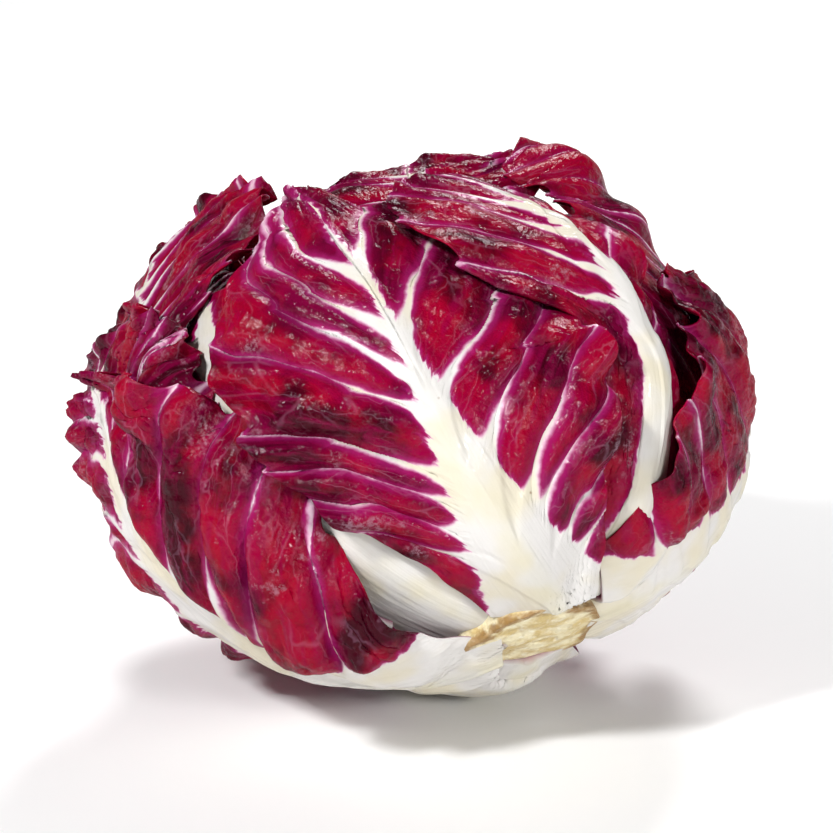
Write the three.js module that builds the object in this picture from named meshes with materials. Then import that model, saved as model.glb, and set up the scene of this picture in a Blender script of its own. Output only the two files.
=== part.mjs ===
// A round radicchio head of the Chioggia type, lying on its lower leaves with the cut stem low at the front.
// Every leaf is its own thin solid. The leaves are laid on a heart one after another, from the inside out,
// and each one keeps a clearance to whatever is already under it.
// Millimetres and degrees. +Z is up, -Y is the front, and the origin is on the resting surface.
import * as THREE from "three";

// Driving dimensions.
const HEAD_WIDTH = 128; // the ellipsoid that the outer leaves follow, left to right
const HEAD_DEPTH = 120; // front to back
const HEAD_HEIGHT = 106; // and from the resting surface up
const STEM_YAW = 26; // the stem points this far to the right of the front
const STEM_PITCH = -31; // and this far below the horizontal
const HEART_SHARE = 0.63; // the heart's size as a share of the envelope
const BLADE = 1.4; // thickness of a leaf blade
const RIB_HEIGHT = 1.8; // how far the midrib stands out of the blade at the leaf's base
const RIB_WIDTH = 6.5; // half-width of the midrib at the leaf's base, in degrees seen from the head's centre
const RIB_NARROWING = 0.75; // the share of that width which is gone at the leaf's tip
const CLEARANCE = 0.9; // space kept between two leaves
const REACH = 11; // a leaf clears everything under it within this many degrees
const STEM_RADIUS = 10.5; // the cut stem
const STEM_BUMPS = 0.09; // the most that its outline bulges, as a share of its radius
const STEM_DEPTH = 0.9; // the depth that the leaves' bases reach, as a share of the envelope
const STEM_TAPER = 0.72; // the core's inner radius as a share of the stem's
const STEM_PROUD = 2; // how far the middle of the cut stands out of the envelope
const CUT_SLOPE = 0.28; // the knife's slant: the cut's upper edge stands out farther than its lower one

const ENVELOPE = new THREE.Vector3(HEAD_WIDTH / 2, HEAD_DEPTH / 2, HEAD_HEIGHT / 2);
const ROWS_STEM_EDGE = 12; // the stem's edge that the leaves' rows are written for, in degrees from its axis
const MEAN_RADIUS = (ENVELOPE.x + ENVELOPE.y + ENVELOPE.z) / 3;
const CENTRE = new THREE.Vector3(0, 0, ENVELOPE.z);
const RAD = Math.PI / 180;

// Directions seen from the head's centre: `stem` points to the cut stem, `sky` to the top of the head
// square to it, and `side` to the right, so that a leaf's azimuth grows from the sky to the right.
const stem = new THREE.Vector3(
  Math.sin(STEM_YAW * RAD) * Math.cos(STEM_PITCH * RAD),
  -Math.cos(STEM_YAW * RAD) * Math.cos(STEM_PITCH * RAD),
  Math.sin(STEM_PITCH * RAD),
);
const sky = new THREE.Vector3(0, 0, 1).addScaledVector(stem, -stem.z).normalize();
const side = new THREE.Vector3().crossVectors(sky, stem);

// Colours of the three kinds of flesh.
const CRIMSON = new THREE.MeshStandardMaterial({ color: 0x7d0b33, roughness: 0.42, metalness: 0 });
const INNER_RED = new THREE.MeshStandardMaterial({ color: 0x5e0a26, roughness: 0.55, metalness: 0 });
const CREAM = new THREE.MeshStandardMaterial({ color: 0xe3d6ae, roughness: 0.6, metalness: 0 });

// The direction `along` degrees up a leaf from the stem and `across` degrees to its right.
function leafDirection(azimuth, along, across) {
  const meridian = sky
    .clone()
    .multiplyScalar(Math.cos(azimuth * RAD))
    .addScaledVector(side, Math.sin(azimuth * RAD));
  const lateral = sky
    .clone()
    .multiplyScalar(-Math.sin(azimuth * RAD))
    .addScaledVector(side, Math.cos(azimuth * RAD));
  return stem
    .clone()
    .multiplyScalar(Math.cos(along * RAD))
    .addScaledVector(meridian, Math.sin(along * RAD))
    .multiplyScalar(Math.cos(across * RAD))
    .addScaledVector(lateral, Math.sin(across * RAD));
}

// The point in a direction, `lift` millimetres outside the envelope.
function pointAt(direction, lift) {
  return direction
    .clone()
    .multiply(ENVELOPE)
    .multiplyScalar(1 + lift / MEAN_RADIUS)
    .add(CENTRE);
}

// A smooth value between rows of numbers: `share` runs from 0 at the first row to 1 at the last.
function between(rows, column, share) {
  const place = share * (rows.length - 1);
  const i = Math.min(Math.floor(place), rows.length - 2);
  const t = place - i;
  const value = (k) => rows[Math.max(0, Math.min(rows.length - 1, k))][column];
  const [a, b, c, d] = [value(i - 1), value(i), value(i + 1), value(i + 2)];
  return b + 0.5 * t * (c - a + t * (2 * a - 5 * b + 4 * c - d + t * (3 * (b - c) + d - a)));
}

// The stem's edge seen from the head's centre, in degrees from its axis, with its bumps and the clearance.
function stemEdge() {
  return Math.asin((STEM_RADIUS * (1 + STEM_BUMPS) + CLEARANCE) / (STEM_DEPTH * MEAN_RADIUS)) / RAD;
}

// Where a leaf is, `share` of the way up it and `turn` across it, from -1 at its left margin to 1 at its right.
// A row of a leaf's shape is [along, left, middle, right, lift at the left, lift at the middle, lift at the right].
function leafPlace(leaf, share, turn) {
  const at = (column) => between(leaf.rows, column, share);
  const middle = at(2);
  const margin = turn < 0 ? at(1) : at(3);
  const across = middle + (margin - middle) * Math.abs(turn);
  const flare = Math.abs(turn) ** (leaf.flare ?? 2);
  const lift = at(5) + ((turn < 0 ? at(4) : at(6)) - at(5)) * flare;
  const ribWidth = RIB_WIDTH * (1 - RIB_NARROWING * share);
  const rib = RIB_HEIGHT * (1 - share) * Math.exp(-(((across - middle) / ribWidth) ** 2));
  const along = at(0) + (stemEdge() - ROWS_STEM_EDGE) * (1 - share);
  return { direction: leafDirection(leaf.azimuth, along, across), lift, thickness: BLADE + rib };
}

// The plain outline of a leaf that nothing shows, wrapped close to the head.
function wrapped(name, azimuth, start, tip, width, lift, layersBelow, material = CRIMSON) {
  const ROWS = 6;
  const NARROWEST = 7; // half-width at the base and at the tip, in degrees
  const WIDEST_LOW = 0.8; // under 1, so that the widest place is below the middle
  const BLUNT = 0.7; // under 1, so that the margins stay apart for longer
  const CUT_OFF = 0.95; // the share of the oval that is drawn, which leaves a blunt tip
  const rows = [];
  for (let i = 0; i <= ROWS; i++) {
    const share = i / ROWS;
    const bulge = Math.sin(Math.PI * CUT_OFF * share ** WIDEST_LOW) ** BLUNT;
    const spread = NARROWEST + (width - NARROWEST) * bulge;
    rows.push([start + (tip - start) * share, -spread, 0, spread, lift, lift, lift]);
  }
  return { name, azimuth, rows, material, layersBelow };
}

// The leaves, from the inside of the head out.
const LEAVES = [
  wrapped("inner_leaf_front", -30, 34, 200, 58, -18, 7, INNER_RED),
  wrapped("inner_leaf_right", 80, 34, 188, 56, -16, 6, INNER_RED),
  wrapped("inner_leaf_back", 180, 34, 178, 58, -14, 5, INNER_RED),
  wrapped("inner_leaf_left", -100, 32, 165, 54, -13, 4, INNER_RED),
  {
    name: "top_leaf",
    azimuth: -10,
    material: CRIMSON,
    rows: [
      [34, -12, 0, 12, -12, -12, -12],
      [50, -22, 0, 20, -12, -12, -12],
      [80, -30, 0, 26, -11, -10, -11],
      [100, -30, 0, 26, -8, -7, -9],
      [113, -26, 0, 24, -3, -4, -6],
      [124, -18, 3, 20, -2, -1, -3],
      [131, -6, 6, 12, -1, 1, -2],
    ],
  },
  wrapped("back_leaf_left", -135, 27, 160, 54, -8, 3),
  wrapped("back_leaf_right", 125, 25, 156, 54, -6.5, 2),
  wrapped("back_leaf_middle", 178, 22, 150, 50, -6, 1),
  {
    name: "upper_left_leaf",
    azimuth: -70,
    material: CRIMSON,
    rows: [
      [26, -12, 0, 9, -8, -7, -8],
      [50, -24, 0, 14, -7, -6, -8],
      [85, -32, 0, 12, -5, -5, -6],
      [102, -34, -2, 19, -4, -3, -3],
      [112, -34, -3, 30, -3, -2, 0],
      [124, -30, -2, 34, -1, 0, 2],
      [136, -20, 2, 30, 1, 2, 2],
      [145, -6, 8, 20, 1, 2, 2],
    ],
  },
  {
    name: "left_rib_leaf",
    azimuth: -60,
    material: CRIMSON,
    rows: [
      [12, -7, -3, 2, -4, -3, -4],
      [28, -12, -2, 9, -4, -3, -4],
      [45, -18, -1, 14, -5, -4, -5],
      [62, -20, 1, 18, -6, -6, -6],
      [80, -18, 4, 22, -6, -5, -6],
      [98, -10, 10, 28, -5, -5, -6],
      [112, 2, 20, 32, -4, -5, -6],
      [119, 12, 24, 31, -4, -5, -6],
    ],
  },
  {
    name: "left_outer_leaf",
    azimuth: -85,
    material: CRIMSON,
    rows: [
      [20, -11, 0, 8, -5, -4, -5],
      [44, -23, 0, 17, -4, -3, -4],
      [70, -32, 0, 24, -3, -2, -3],
      [86, -36, 0, 28, -2, -2, -1],
      [96, -36, 0, 30, -1, -2, 0],
      [106, -32, 0, 25, -1, -1, 0],
      [116, -18, 2, 18, -1, -1, 0],
    ],
  },
  {
    name: "far_right_leaf",
    azimuth: 64,
    material: CRIMSON,
    flare: 4,
    rows: [
      [22, -13, 0, 12, -7, -6, -6],
      [40, -24, 0, 23, -8, -6, -5],
      [60, -34, 0, 32, -10, -8, -5],
      [80, -38, 0, 34, -6, -9, -5],
      [96, -39, 0, 34, -1, -9, -5],
      [108, -39, 0, 30, 1, -8, -4],
      [119, -36, -4, 22, 1, -5, -3],
      [127, -26, -8, 8, 0, -3, -2],
    ],
  },
  {
    name: "right_leaf",
    azimuth: 15,
    material: CRIMSON,
    rows: [
      [12, -5, 3, 8, -2, -1, -3],
      [28, -7, 6, 15, -4, -1, -4],
      [42, -8, 6, 19, -4, 0, -5],
      [56, -8, 5, 20, -4, 1, -6],
      [66, -8, 3, 20, -2, 1, -6],
      [76, -22, 1, 19, 1, 0, -6],
      [87, -29, -3, 16, 2, -1, -7],
      [98, -31, -8, 10, 1, -2, -7],
      [107, -28, -14, 0, -1, -2, -7],
      [113, -22, -17, -10, -2, -3, -5],
    ],
  },
  {
    name: "right_outer_leaf",
    azimuth: 80,
    material: CRIMSON,
    rows: [
      [13, -14, 0, 12, -2, -1, -2],
      [21, -25, 0, 23, -1, 0, -1],
      [33, -37, 0, 32, 0, 0, -1],
      [47, -42, 0, 38, 1, 0, -1],
      [60, -44, 0, 40, 2, 0, 0],
      [72, -47, -2, 38, 2, 1, 0],
      [83, -46, -4, 28, 2, 1, 1],
      [92, -36, -8, 14, 1, 1, 1],
    ],
  },
  {
    name: "bottom_leaf",
    azimuth: 175,
    material: CRIMSON,
    fine: true,
    rows: [
      [13, -12, 0, 12, -2, -1, -2],
      [27, -24, 0, 24, -2, 0, -2],
      [46, -38, 0, 38, -3, 2, -4],
      [66, -46, 0, 46, -3, 2.6, -4],
      [88, -48, 0, 48, -2, 1, -4],
      [108, -44, 0, 44, 0, 0, -2],
      [124, -34, -2, 32, 1, 0, 1],
      [134, -18, -4, 12, 2, 1, 2],
    ],
  },
  {
    name: "lower_left_leaf",
    azimuth: -105,
    material: CRIMSON,
    rows: [
      [12, -8, -3, 2, -1, 0, -3],
      [22, -20, -8, 8, -1, 0, -2],
      [32, -28, -11, 19, -1, 0, -1],
      [44, -33, -10, 34, -1, 1, 2],
      [58, -32, 0, 43, 0, 1, 3],
      [72, -24, 12, 45, 0, 1, 4],
      [86, -10, 22, 42, 1, 1, 4],
      [97, 4, 25, 34, 2, 2, 4],
      [105, 12, 22, 26, 4, 4, 4],
    ],
  },
  {
    name: "front_leaf",
    azimuth: -22,
    material: CRIMSON,
    rows: [
      [11, -8, 3, 11, 0, 1, 0],
      [26, -14, 1, 20, 0, 2, 1],
      [42, -25, 0, 24, 2, 2, 3],
      [56, -31, 0, 28, 3, 2, 4],
      [66, -32, -1, 20, 2, 1, 0],
      [80, -32, -2, 8, 1, 0, -2],
      [95, -27, -3, 4, 0, -1, -2],
      [108, -14, -4, 2, -1, -2, -2],
      [118, -7, -5, -2, -1, -2, -2],
    ],
  },
];

// Sizes of the grids: `laid` is the fine one that later leaves are laid on, `mesh` is the one that is built.
const LAID = [56, 40];
const MESH = [12, 10];
const FINE_MESH = [20, 18];

// What is already on the pile: directions with the height of the topmost face there, in millimetres of lift.
const pile = [];

function heartLift() {
  return (HEART_SHARE - 1) * MEAN_RADIUS;
}

// The lift that a leaf's inner face needs to clear the pile around a direction.
function clearLift(direction) {
  const near = Math.cos(REACH * RAD);
  let lift = heartLift();
  for (const laid of pile) {
    if (laid.lift > lift && laid.direction.dot(direction) > near) lift = laid.lift;
  }
  return lift + CLEARANCE;
}

// Lays a leaf on the pile and returns its closed geometry.
function layLeaf(leaf) {
  const [rowsUp, rowsAcross] = leaf.fine ? FINE_MESH : MESH;
  const lifts = [];
  const places = [];
  for (let i = 0; i <= rowsUp; i++) {
    for (let j = 0; j <= rowsAcross; j++) {
      const place = leafPlace(leaf, i / rowsUp, (2 * j) / rowsAcross - 1);
      places.push(place);
      lifts.push(Math.max(place.lift - BLADE, clearLift(place.direction)));
    }
  }
  addToPile(leaf, places, lifts, rowsUp, rowsAcross);

  const positions = [];
  const floor = (leaf.layersBelow ?? 0) * (BLADE + CLEARANCE);
  places.forEach((place, n) => {
    const outer = pointAt(place.direction, lifts[n] + place.thickness);
    outer.z = Math.max(outer.z, floor);
    positions.push(...outer.toArray());
  });
  places.forEach((place, n) => {
    const inner = pointAt(place.direction, lifts[n]);
    inner.z = Math.max(inner.z, floor + BLADE);
    positions.push(...inner.toArray());
  });
  return sheetGeometry(positions, rowsUp, rowsAcross);
}

// Adds a leaf's outer face to the pile on the fine grid, between the heights at its mesh's points.
function addToPile(leaf, places, lifts, rowsUp, rowsAcross) {
  const height = (i, j) => {
    const n = i * (rowsAcross + 1) + j;
    return lifts[n] + places[n].thickness;
  };
  for (let a = 0; a <= LAID[0]; a++) {
    for (let b = 0; b <= LAID[1]; b++) {
      const share = a / LAID[0];
      const turn = (2 * b) / LAID[1] - 1;
      const x = share * rowsUp;
      const y = ((turn + 1) / 2) * rowsAcross;
      const i = Math.min(Math.floor(x), rowsUp - 1);
      const j = Math.min(Math.floor(y), rowsAcross - 1);
      const highest = Math.max(height(i, j), height(i + 1, j), height(i, j + 1), height(i + 1, j + 1));
      pile.push({ direction: leafPlace(leaf, share, turn).direction, lift: highest });
    }
  }
}

// A closed sheet from an outer and an inner grid of points, with a wall all round its margin.
function sheetGeometry(positions, rowsUp, rowsAcross) {
  const columns = rowsAcross + 1;
  const inner = (rowsUp + 1) * columns;
  const index = [];
  const quad = (a, b, c, d) => index.push(a, b, c, a, c, d);
  for (let i = 0; i < rowsUp; i++) {
    for (let j = 0; j < rowsAcross; j++) {
      const n = i * columns + j;
      quad(n, n + 1, n + columns + 1, n + columns);
      quad(inner + n, inner + n + columns, inner + n + columns + 1, inner + n + 1);
    }
  }
  for (let i = 0; i < rowsUp; i++) {
    const left = i * columns;
    const right = left + rowsAcross;
    quad(left, left + columns, inner + left + columns, inner + left);
    quad(right + columns, right, inner + right, inner + right + columns);
  }
  for (let j = 0; j < rowsAcross; j++) {
    const top = rowsUp * columns + j;
    quad(j + 1, j, inner + j, inner + j + 1);
    quad(top, top + 1, inner + top + 1, inner + top);
  }
  const geometry = new THREE.BufferGeometry();
  geometry.setAttribute("position", new THREE.Float32BufferAttribute(positions, 3));
  geometry.setIndex(index);
  return geometry;
}

// The heart: the innermost leaves, folded so tightly that they are one solid.
function heartGeometry() {
  const SEGMENTS = { around: 20, up: 14 };
  const geometry = new THREE.SphereGeometry(1, SEGMENTS.around, SEGMENTS.up);
  geometry.applyMatrix4(new THREE.Matrix4().makeScale(ENVELOPE.x, ENVELOPE.y, ENVELOPE.z));
  geometry.scale(HEART_SHARE, HEART_SHARE, HEART_SHARE);
  geometry.translate(CENTRE.x, CENTRE.y, CENTRE.z);
  return geometry;
}

// The stem: a core that tapers towards the heart, uneven round its side and cut on a slant.
function stemGeometry() {
  const SIDES = 18;
  const BUMPS = [
    { waves: 2, share: 0.6, turn: 0.6 },
    { waves: 5, share: 0.4, turn: 0 },
  ];
  const start = pointAt(stem, heartLift() + CLEARANCE);
  const end = pointAt(stem, STEM_PROUD);
  const length = end.distanceTo(start);
  // Each ring is [share of the length, radius as a share of the stem's].
  const rings = [
    [0, 0.6 * STEM_TAPER],
    [0.12, STEM_TAPER],
    [0.7, 0.9],
    [0.9, 1],
    [1, 0.92],
  ];
  const axis = end.clone().sub(start).normalize();
  const across = new THREE.Vector3().crossVectors(axis, sky).normalize();
  const up = new THREE.Vector3().crossVectors(across, axis);
  const positions = [];
  for (const [share, radius] of rings) {
    for (let k = 0; k < SIDES; k++) {
      const angle = (2 * Math.PI * k) / SIDES;
      const bulge = BUMPS.reduce((sum, b) => sum + b.share * Math.sin(b.waves * angle + b.turn), 0);
      const reach = radius * STEM_RADIUS * (1 + STEM_BUMPS * bulge);
      const slant = share * CUT_SLOPE * reach * Math.cos(angle);
      const point = start
        .clone()
        .addScaledVector(axis, share * length + slant)
        .addScaledVector(up, reach * Math.cos(angle))
        .addScaledVector(across, reach * Math.sin(angle));
      positions.push(...point.toArray());
    }
  }
  const inner = positions.length / 3;
  positions.push(...start.toArray(), ...end.toArray());
  const index = [];
  for (let r = 0; r < rings.length - 1; r++) {
    for (let k = 0; k < SIDES; k++) {
      const [a, b] = [r * SIDES + k, r * SIDES + ((k + 1) % SIDES)];
      index.push(a, b, b + SIDES, a, b + SIDES, a + SIDES);
    }
  }
  const last = (rings.length - 1) * SIDES;
  for (let k = 0; k < SIDES; k++) {
    const next = (k + 1) % SIDES;
    index.push(inner, next, k, inner + 1, last + k, last + next);
  }
  const geometry = new THREE.BufferGeometry();
  geometry.setAttribute("position", new THREE.Float32BufferAttribute(positions, 3));
  geometry.setIndex(index);
  return geometry;
}

function named(name, geometry, material) {
  const mesh = new THREE.Mesh(geometry, material);
  mesh.name = name;
  return mesh;
}

const radicchio = new THREE.Group();
radicchio.add(named("heart", heartGeometry(), INNER_RED));
for (const leaf of LEAVES) radicchio.add(named(leaf.name, layLeaf(leaf), leaf.material));
radicchio.add(named("stem", stemGeometry(), CREAM));

// The origin goes to the middle of the box's floor.
const box = new THREE.Box3().setFromObject(radicchio, true);
const middle = box.getCenter(new THREE.Vector3());
radicchio.position.set(-middle.x, -middle.y, -box.min.z);

export default radicchio;
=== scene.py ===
"""The looks of a round radicchio head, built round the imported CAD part.

Each leaf is a thin closed sheet with a midrib, lateral veins, puckers between the veins and a ruffled margin.
The leaves are laid on the heart from the inside out, and each one rests on the height map of what is already
there. Lengths are in millimetres and angles in degrees until a mesh is made, which is in metres.
"""

import math
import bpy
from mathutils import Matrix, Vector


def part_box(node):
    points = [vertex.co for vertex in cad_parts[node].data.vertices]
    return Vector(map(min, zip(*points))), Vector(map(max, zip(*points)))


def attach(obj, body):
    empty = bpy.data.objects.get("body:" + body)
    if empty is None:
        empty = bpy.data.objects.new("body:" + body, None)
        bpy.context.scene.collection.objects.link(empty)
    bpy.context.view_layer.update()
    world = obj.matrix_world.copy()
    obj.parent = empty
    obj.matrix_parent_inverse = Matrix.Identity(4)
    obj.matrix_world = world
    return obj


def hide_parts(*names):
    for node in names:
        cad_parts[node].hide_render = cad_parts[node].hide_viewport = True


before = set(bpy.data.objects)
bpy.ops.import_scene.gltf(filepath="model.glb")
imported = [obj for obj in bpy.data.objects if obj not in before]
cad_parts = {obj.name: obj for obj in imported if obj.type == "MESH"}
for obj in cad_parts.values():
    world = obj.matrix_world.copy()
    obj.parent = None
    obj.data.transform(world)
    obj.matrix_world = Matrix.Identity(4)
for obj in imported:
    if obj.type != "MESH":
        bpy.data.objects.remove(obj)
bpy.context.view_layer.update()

from types import SimpleNamespace

import bpy
import numpy as np
from mathutils import Vector, kdtree

MM = 0.001
RAD = math.pi / 180

# ---------------------------------------------------------------- the head's frame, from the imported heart

HEART_SHARE = 0.63  # the CAD heart's size as a share of the envelope that the outer leaves follow
STEM_YAW = 26
STEM_PITCH = -31
heart_low, heart_high = (np.array(corner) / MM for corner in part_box("heart"))
CENTRE = (heart_low + heart_high) / 2
ENVELOPE = (heart_high - heart_low) / 2 / HEART_SHARE
MEAN_RADIUS = ENVELOPE.mean()
DEGREE = MEAN_RADIUS * RAD  # one degree on the envelope, in millimetres

STEM = np.array([
    math.sin(STEM_YAW * RAD) * math.cos(STEM_PITCH * RAD),
    -math.cos(STEM_YAW * RAD) * math.cos(STEM_PITCH * RAD),
    math.sin(STEM_PITCH * RAD),
])
SKY = np.array([0, 0, 1]) - STEM[2] * STEM
SKY /= np.linalg.norm(SKY)
SIDE = np.cross(SKY, STEM)

# ---------------------------------------------------------------- the leaves

GAP = 0.5  # clearance between two leaves
REST = GAP + 0.3  # a leaf's inner face is this far off the pile, before its puckers are added
BLADE = 0.8  # thickness of a blade, away from its veins
MARGIN = 0.35  # and at its margin
GRID = (230, 190)  # a leaf's rows up and across
RIB = (8, 0.6, 1.5, 2.1)  # a midrib where the leaf names none
FOLDED = "right_leaf"  # the leaf whose upper left side folds over its later neighbour
FOLD_STARTS = 65  # that fold's foot, in degrees along the leaf
FOLD_LEFT_OF = -3  # and its right edge, in degrees across


def wrapped(name, azimuth, start, tip, width, lift, **more):
    """A leaf with a plain oval outline, wrapped close to the head."""
    NARROWEST = 7  # half-width at the base and at the tip, in degrees
    WIDEST_LOW = 0.8  # under 1, so that the widest place is below the middle
    BLUNT = 0.7  # under 1, so that the margins stay apart for longer
    CUT_OFF = 0.95  # the share of the oval that is drawn, which leaves a blunt tip
    rows = []
    for share in np.linspace(0, 1, 8):
        bulge = math.sin(math.pi * CUT_OFF * share**WIDEST_LOW) ** BLUNT
        spread = NARROWEST + (width - NARROWEST) * bulge
        rows.append([start + (tip - start) * share, -spread, 0, spread, lift, lift, lift])
    return {"name": name, "azimuth": azimuth, "rows": rows, **more}


# What the keys of a leaf say:
#   azimuth: where the leaf grows round the stem, in degrees from the sky to the right.
#   rows: [along, left, middle, right, lift at the left, lift at the middle, lift at the right], from the base
#     to the tip. Places are degrees seen from the head's centre, and lifts are millimetres over the envelope.
#   bulges: (along, across, reach along, reach across, height) of a smooth swelling of those lifts.
#   rib: (half-width at the base, at the tip, height, how soon it narrows), in millimetres.
#   veins: a lateral's half-width at its foot, in millimetres.
#   left, right: laterals as (share of the way up where it leaves the midrib, share where it ends, bend). A
#     lateral with a bend under 1 leaves the midrib nearly along it.
#   pucker, crumple, ruffle: heights in millimetres of the blade's swelling between veins, of its wrinkles and
#     of its waving margin. calm: the side whose margin waves only a little.
#   flare: over 2 where only the margin takes the lift of its side.
#   pale_left, pale_right: under 1 where the midrib's white spreads farther on that side.
INNER = {"slot": "inner_leaf", "grid": (150, 120)}
BACK = {"veins": 0.3, "pucker": 2, "ruffle": 1.8}
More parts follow.
